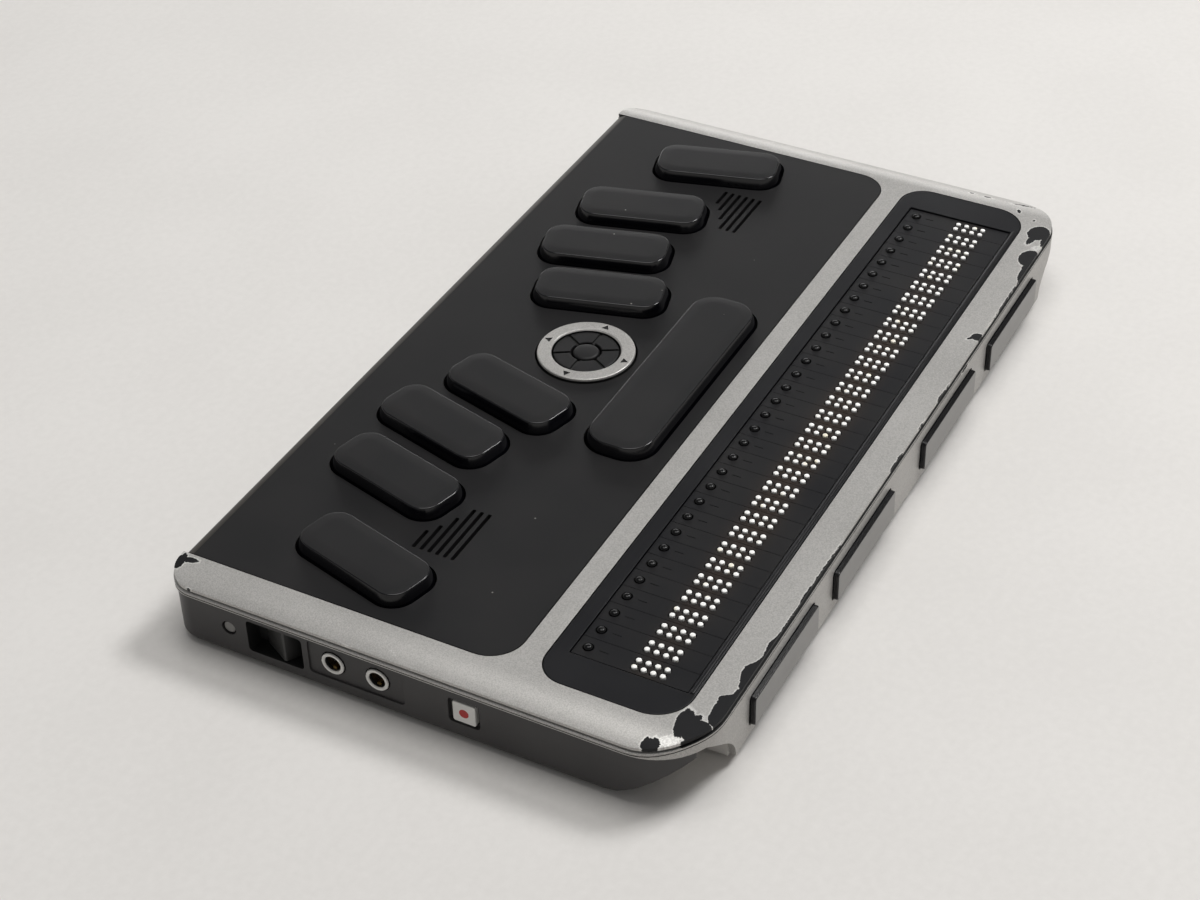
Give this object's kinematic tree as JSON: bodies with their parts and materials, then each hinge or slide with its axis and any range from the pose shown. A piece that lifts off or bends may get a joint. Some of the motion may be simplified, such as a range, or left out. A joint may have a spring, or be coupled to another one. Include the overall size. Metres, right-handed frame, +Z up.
{
  "type": "braille notetaker",
  "caption": "Portable braille notetaker with a braille keyboard, a refreshable braille line with routing buttons, an arrow ring with a scroll wheel, and thumb keys in the front face.",
  "frame": {"origin": "middle of the case's outline, on the surface that the feet stand on", "axes": "+X to the user's right, +Y away from the user, +Z up through the keys"},
  "size_m": [0.244, 0.1414, 0.0231],
  "materials": {
    "tray_black": "satin",
    "silver_paint": "satin",
    "soft_black": "soft touch",
    "gloss_black": "gloss",
    "dot_white": "satin",
    "thumb_grey": "gloss",
    "record_white": "satin",
    "board_green": "matte",
    "bright_metal": "satin",
    "foot_rubber": "matte",
    "battery_wrap": "matte"
  },
  "bodies": {
    "case": {"bottom_housing": "tray_black", "battery_cover": "tray_black", "rim_frame": "silver_paint", "top_cover": "silver_paint", "keyboard_panel": "soft_black", "display_bezel": "gloss_black", "cell_caps": "gloss_black", "cell_block": "gloss_black", "headphone_jack": "gloss_black", "microphone_jack": "gloss_black", "left_speaker": "gloss_black", "right_speaker": "gloss_black", "power_inlet": "gloss_black", "keyboard_board": "board_green", "main_board": "board_green", "cell_backplane": "board_green", "thumb_key_board": "board_green", "scroll_encoder": "bright_metal", "usb_host_port": "bright_metal", "card_slot": "bright_metal", "usb_device_port": "bright_metal", "front_left_screw": "bright_metal", "front_right_screw": "bright_metal", "back_left_screw": "bright_metal", "back_right_screw": "bright_metal", "front_left_foot": "foot_rubber", "front_right_foot": "foot_rubber", "back_left_foot": "foot_rubber", "back_right_foot": "foot_rubber", "battery_pack": "battery_wrap"},
    "key_backspace": {"key_backspace": "soft_black"},
    "key_dot_3": {"key_dot_3": "soft_black"},
    "key_dot_2": {"key_dot_2": "soft_black"},
    "key_dot_1": {"key_dot_1": "soft_black"},
    "key_dot_4": {"key_dot_4": "soft_black"},
    "key_dot_5": {"key_dot_5": "soft_black"},
    "key_dot_6": {"key_dot_6": "soft_black"},
    "key_enter": {"key_enter": "soft_black"},
    "space_bar": {"space_bar": "soft_black"},
    "thumb_key_1": {"thumb_key_1": "thumb_grey"},
    "thumb_key_2": {"thumb_key_2": "thumb_grey"},
    "thumb_key_3": {"thumb_key_3": "thumb_grey"},
    "thumb_key_4": {"thumb_key_4": "thumb_grey"},
    "routing_keys_1": {"routing_keys_1": "gloss_black"},
    "routing_keys_2": {"routing_keys_2": "gloss_black"},
    "routing_keys_3": {"routing_keys_3": "gloss_black"},
    "routing_keys_4": {"routing_keys_4": "gloss_black"},
    "braille_pins_1": {"braille_pins_1": "dot_white"},
    "braille_pins_2": {"braille_pins_2": "dot_white"},
    "braille_pins_3": {"braille_pins_3": "dot_white"},
    "braille_pins_4": {"braille_pins_4": "dot_white"},
    "select_button": {"select_button": "soft_black"},
    "reset_button": {"reset_button": "tray_black"},
    "record_button": {"record_button": "record_white"},
    "power_switch": {"power_switch": "gloss_black"},
    "battery_latch": {"battery_latch": "tray_black"},
    "ring_gimbal": {"ring_gimbal": "bright_metal"},
    "arrow_ring": {"arrow_ring": "silver_paint"},
    "scroll_wheel": {"scroll_wheel": "soft_black"}
  },
  "joints": [
    {"name": "key_backspace_press", "type": "slide", "parent": "case", "child": "key_backspace", "axis": [0, 0, -1], "range_m": [0, 0.0015], "stiffness_N_per_m": 300},
    {"name": "key_dot_3_press", "type": "slide", "parent": "case", "child": "key_dot_3", "axis": [0, 0, -1], "range_m": [0, 0.0015], "stiffness_N_per_m": 300},
    {"name": "key_dot_2_press", "type": "slide", "parent": "case", "child": "key_dot_2", "axis": [0, 0, -1], "range_m": [0, 0.0015], "stiffness_N_per_m": 300},
    {"name": "key_dot_1_press", "type": "slide", "parent": "case", "child": "key_dot_1", "axis": [0, 0, -1], "range_m": [0, 0.0015], "stiffness_N_per_m": 300},
    {"name": "key_dot_4_press", "type": "slide", "parent": "case", "child": "key_dot_4", "axis": [0, 0, -1], "range_m": [0, 0.0015], "stiffness_N_per_m": 300},
    {"name": "key_dot_5_press", "type": "slide", "parent": "case", "child": "key_dot_5", "axis": [0, 0, -1], "range_m": [0, 0.0015], "stiffness_N_per_m": 300},
    {"name": "key_dot_6_press", "type": "slide", "parent": "case", "child": "key_dot_6", "axis": [0, 0, -1], "range_m": [0, 0.0015], "stiffness_N_per_m": 300},
    {"name": "key_enter_press", "type": "slide", "parent": "case", "child": "key_enter", "axis": [0, 0, -1], "range_m": [0, 0.0015], "stiffness_N_per_m": 300},
    {"name": "space_bar_press", "type": "slide", "parent": "case", "child": "space_bar", "axis": [0, 0, -1], "range_m": [0, 0.0015], "stiffness_N_per_m": 300},
    {"name": "thumb_key_1_press", "type": "slide", "parent": "case", "child": "thumb_key_1", "axis": [0, 1, 0], "range_m": [0, 0.0012], "stiffness_N_per_m": 300},
    {"name": "thumb_key_2_press", "type": "slide", "parent": "case", "child": "thumb_key_2", "axis": [0, 1, 0], "range_m": [0, 0.0012], "stiffness_N_per_m": 300},
    {"name": "thumb_key_3_press", "type": "slide", "parent": "case", "child": "thumb_key_3", "axis": [0, 1, 0], "range_m": [0, 0.0012], "stiffness_N_per_m": 300},
    {"name": "thumb_key_4_press", "type": "slide", "parent": "case", "child": "thumb_key_4", "axis": [0, 1, 0], "range_m": [0, 0.0012], "stiffness_N_per_m": 300},
    {"name": "routing_keys_1_press", "type": "slide", "parent": "case", "child": "routing_keys_1", "axis": [0, 0, -1], "range_m": [0, 0.0005], "stiffness_N_per_m": 300},
    {"name": "routing_keys_2_press", "type": "slide", "parent": "case", "child": "routing_keys_2", "axis": [0, 0, -1], "range_m": [0, 0.0005], "stiffness_N_per_m": 300},
    {"name": "routing_keys_3_press", "type": "slide", "parent": "case", "child": "routing_keys_3", "axis": [0, 0, -1], "range_m": [0, 0.0005], "stiffness_N_per_m": 300},
    {"name": "routing_keys_4_press", "type": "slide", "parent": "case", "child": "routing_keys_4", "axis": [0, 0, -1], "range_m": [0, 0.0005], "stiffness_N_per_m": 300},
    {"name": "braille_pins_1_retract", "type": "slide", "parent": "case", "child": "braille_pins_1", "axis": [0, 0, -1], "range_m": [0, 0.0007]},
    {"name": "braille_pins_2_retract", "type": "slide", "parent": "case", "child": "braille_pins_2", "axis": [0, 0, -1], "range_m": [0, 0.0007]},
    {"name": "braille_pins_3_retract", "type": "slide", "parent": "case", "child": "braille_pins_3", "axis": [0, 0, -1], "range_m": [0, 0.0007]},
    {"name": "braille_pins_4_retract", "type": "slide", "parent": "case", "child": "braille_pins_4", "axis": [0, 0, -1], "range_m": [0, 0.0007]},
    {"name": "select_button_press", "type": "slide", "parent": "case", "child": "select_button", "axis": [0, 0, -1], "range_m": [0, 0.0006], "stiffness_N_per_m": 300},
    {"name": "reset_button_press", "type": "slide", "parent": "case", "child": "reset_button", "axis": [1, 0, 0], "range_m": [0, 0.0006], "stiffness_N_per_m": 300},
    {"name": "record_button_press", "type": "slide", "parent": "case", "child": "record_button", "axis": [1, 0, 0], "range_m": [0, 0.0006], "stiffness_N_per_m": 300},
    {"name": "power_switch_slide", "type": "slide", "parent": "case", "child": "power_switch", "axis": [0, -1, 0], "range_m": [0, 0.0026]},
    {"name": "battery_latch_slide", "type": "slide", "parent": "case", "child": "battery_latch", "axis": [0, 1, 0], "range_m": [0, 0.004]},
    {"name": "ring_gimbal_tilt", "type": "hinge", "parent": "case", "child": "ring_gimbal", "pos_m": [0, 0.0215, 0.0156], "axis": [1, 0, 0], "range_deg": [-1.7, 1.7], "stiffness_Nm_per_rad": 0.5},
    {"name": "arrow_ring_tilt", "type": "hinge", "parent": "ring_gimbal", "child": "arrow_ring", "pos_m": [0, 0.0215, 0.0156], "axis": [0, 1, 0], "range_deg": [-1.7, 1.7], "stiffness_Nm_per_rad": 0.5},
    {"name": "scroll_wheel_turn", "type": "hinge", "parent": "case", "child": "scroll_wheel", "pos_m": [0, 0.0215, 0.0194], "axis": [0, 0, 1], "continuous": true}
  ]
}
